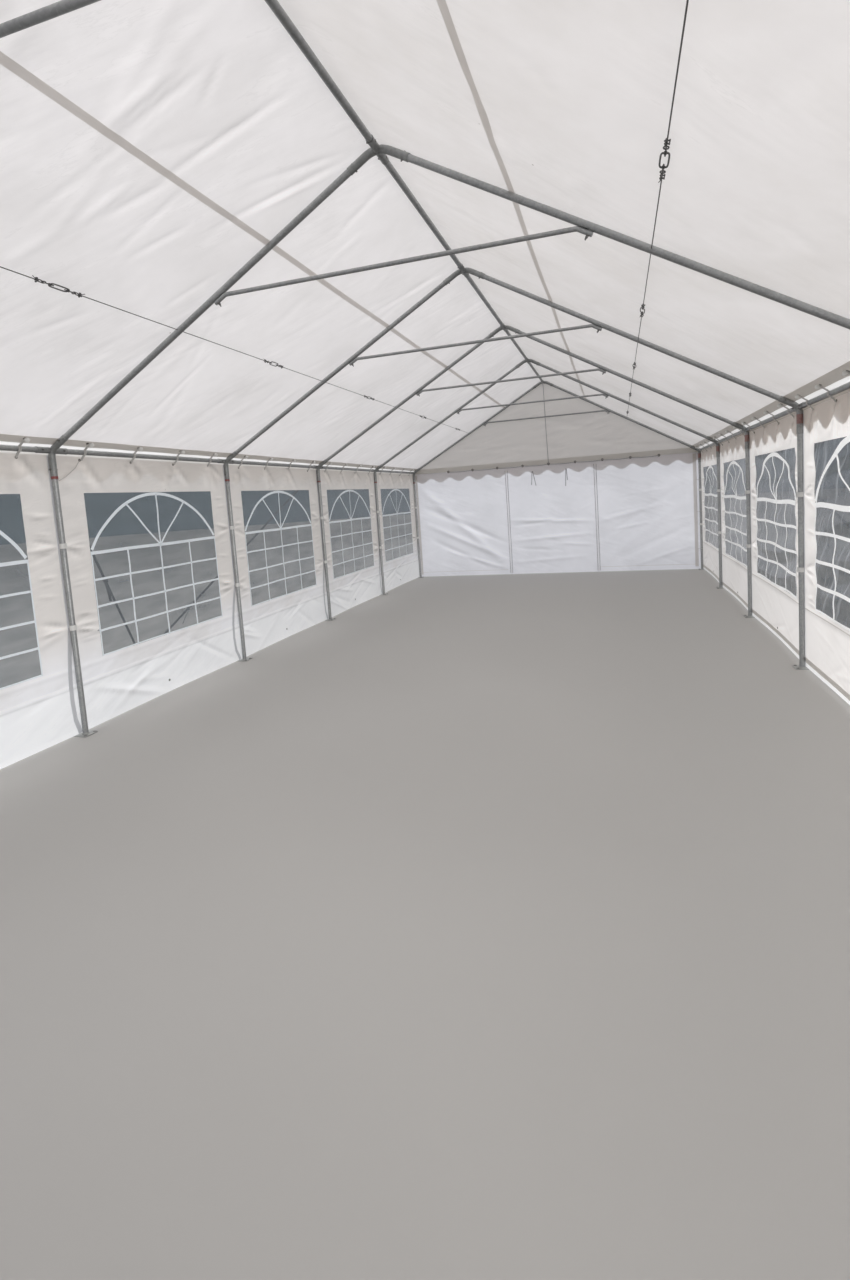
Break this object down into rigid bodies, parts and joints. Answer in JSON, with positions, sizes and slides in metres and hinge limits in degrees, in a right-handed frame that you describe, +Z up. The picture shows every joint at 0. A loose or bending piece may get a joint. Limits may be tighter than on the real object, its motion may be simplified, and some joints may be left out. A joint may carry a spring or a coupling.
{
  "type": "marquee tent",
  "caption": "Long gabled party marquee: a tube frame of portals under a white fabric roof with scalloped valances, arched window walls, zipped end doors and storm guys.",
  "frame": {"origin": "on the ground under the middle of the tent", "axes": "+Z up, +Y along the ridge from the front end, whose door is rolled up, to the back end, whose door is closed, +X to the right"},
  "size_m": [7.498, 12.115, 3.4242],
  "materials": {
    "galvanised_tube": "dull galvanised",
    "white_coated_fabric": "satin coated fabric",
    "clear_window_film": "clear soft film",
    "guy_webbing": "matt braid",
    "wire_and_turnbuckle": "zinc plated"
  },
  "bodies": {
    "root": {"post_left_1": "galvanised_tube", "post_left_2": "galvanised_tube", "post_left_3": "galvanised_tube", "post_left_4": "galvanised_tube", "post_left_5": "galvanised_tube", "post_left_6": "galvanised_tube", "post_left_7": "galvanised_tube", "post_right_1": "galvanised_tube", "post_right_2": "galvanised_tube", "post_right_3": "galvanised_tube", "post_right_4": "galvanised_tube", "post_right_5": "galvanised_tube", "post_right_6": "galvanised_tube", "post_right_7": "galvanised_tube", "rafter_left_1": "galvanised_tube", "rafter_left_2": "galvanised_tube", "rafter_left_3": "galvanised_tube", "rafter_left_4": "galvanised_tube", "rafter_left_5": "galvanised_tube", "rafter_left_6": "galvanised_tube", "rafter_left_7": "galvanised_tube", "rafter_right_1": "galvanised_tube", "rafter_right_2": "galvanised_tube", "rafter_right_3": "galvanised_tube", "rafter_right_4": "galvanised_tube", "rafter_right_5": "galvanised_tube", "rafter_right_6": "galvanised_tube", "rafter_right_7": "galvanised_tube", "collar_tie_1": "galvanised_tube", "collar_tie_2": "galvanised_tube", "collar_tie_3": "galvanised_tube", "collar_tie_4": "galvanised_tube", "collar_tie_5": "galvanised_tube", "collar_tie_6": "galvanised_tube", "collar_tie_7": "galvanised_tube", "ridge_rail": "galvanised_tube", "eave_rail_left": "galvanised_tube", "eave_rail_right": "galvanised_tube", "roof_wire_left": "wire_and_turnbuckle", "roof_wire_right": "wire_and_turnbuckle", "roof_cover": "white_coated_fabric", "gable_panel_front": "white_coated_fabric", "gable_panel_back": "white_coated_fabric", "side_wall_left": "white_coated_fabric", "side_wall_right": "white_coated_fabric", "window_film_left": "clear_window_film", "window_film_right": "clear_window_film", "end_wall_front": "white_coated_fabric", "end_wall_back": "white_coated_fabric", "end_door_front": "white_coated_fabric", "end_door_back": "white_coated_fabric", "guy_rope_left_1": "guy_webbing", "guy_rope_left_2": "guy_webbing", "guy_rope_right_1": "guy_webbing", "guy_rope_right_2": "guy_webbing"}
  },
  "joints": []
}
